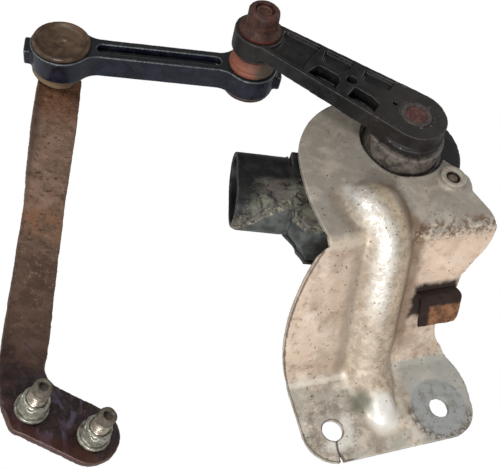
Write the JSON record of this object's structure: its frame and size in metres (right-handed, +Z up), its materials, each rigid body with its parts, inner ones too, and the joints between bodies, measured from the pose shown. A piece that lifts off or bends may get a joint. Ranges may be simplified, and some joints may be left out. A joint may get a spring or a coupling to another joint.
{
  "type": "headlight level sensor",
  "caption": "Rotary headlight level sensor on a pressed steel mounting bracket, with its lever, ball-jointed link and a flat strap bracket for the suspension arm.",
  "frame": {"origin": "on the axis of the bracket foot's right bolt hole, at the face the foot sits on", "axes": "+Z up along that hole and parallel to the sensor shaft, +X to the right along the bends of the bracket, +Y from the foot towards the sensor"},
  "size_m": [0.1958, 0.1891, 0.093],
  "materials": {
    "mounting_bracket": "dull zinc plate with dust",
    "harness_hook": "rusted",
    "sensor_housing": "moulded, dusty",
    "housing_cover": "moulded",
    "cover_seal": "soft",
    "circuit_board": "lacquered",
    "shaft_bush": "turned",
    "shaft_seal": "soft",
    "connector_terminals": "tinned",
    "housing_screws": "zinc plated",
    "ear_sleeves": "plain",
    "lever_arm": "glass-filled, moulded",
    "hub_insert": "rusted",
    "rotor_shaft": "rusted end",
    "rotor_magnet": "sintered",
    "lever_ball_stud": "rusted",
    "lever_nut": "rusted zinc plate",
    "link_rod": "glass-filled, moulded",
    "ball_seat_lever": "moulded",
    "ball_seat_strap": "moulded",
    "socket_cap_lever": "dusty",
    "socket_cap_strap": "dusty",
    "link_boot_lever": "dusty",
    "link_boot_strap": "dusty",
    "strap_ball_stud": "rusted",
    "strap_bracket": "rusted zinc plate",
    "foot_studs": "zinc plated",
    "foot_nuts": "zinc plated"
  },
  "bodies": {
    "base": {"mounting_bracket": "mounting_bracket", "harness_hook": "harness_hook", "sensor_housing": "sensor_housing", "housing_cover": "housing_cover", "cover_seal": "cover_seal", "circuit_board": "circuit_board", "shaft_bush": "shaft_bush", "shaft_seal": "shaft_seal", "connector_terminals": "connector_terminals", "housing_screws": "housing_screws", "ear_sleeves": "ear_sleeves"},
    "lever": {"lever_arm": "lever_arm", "hub_insert": "hub_insert", "rotor_shaft": "rotor_shaft", "rotor_magnet": "rotor_magnet", "lever_ball_stud": "lever_ball_stud", "lever_nut": "lever_nut"},
    "link": {"link_rod": "link_rod", "ball_seat_lever": "ball_seat_lever", "ball_seat_strap": "ball_seat_strap", "socket_cap_lever": "socket_cap_lever", "socket_cap_strap": "socket_cap_strap", "link_boot_lever": "link_boot_lever", "link_boot_strap": "link_boot_strap"},
    "strap": {"strap_ball_stud": "strap_ball_stud", "strap_bracket": "strap_bracket", "foot_studs": "foot_studs", "foot_nuts": "foot_nuts"}
  },
  "joints": [
    {"name": "lever_pivot", "type": "hinge", "parent": "base", "child": "lever", "pos_m": [-0.0038, 0.09327, 0.06563], "axis": [0, 0, 1], "range_deg": [-60, 20]},
    {"name": "link_pivot", "type": "hinge", "parent": "lever", "child": "link", "pos_m": [-0.05488, 0.14542, 0.05754], "axis": [0, 0, 1], "range_deg": [-35, 15]},
    {"name": "strap_pivot", "type": "hinge", "parent": "link", "child": "strap", "pos_m": [-0.13302, 0.16303, 0.05754], "axis": [0.2904, 0.0336, 0.9563], "range_deg": [-30, 15]}
  ]
}
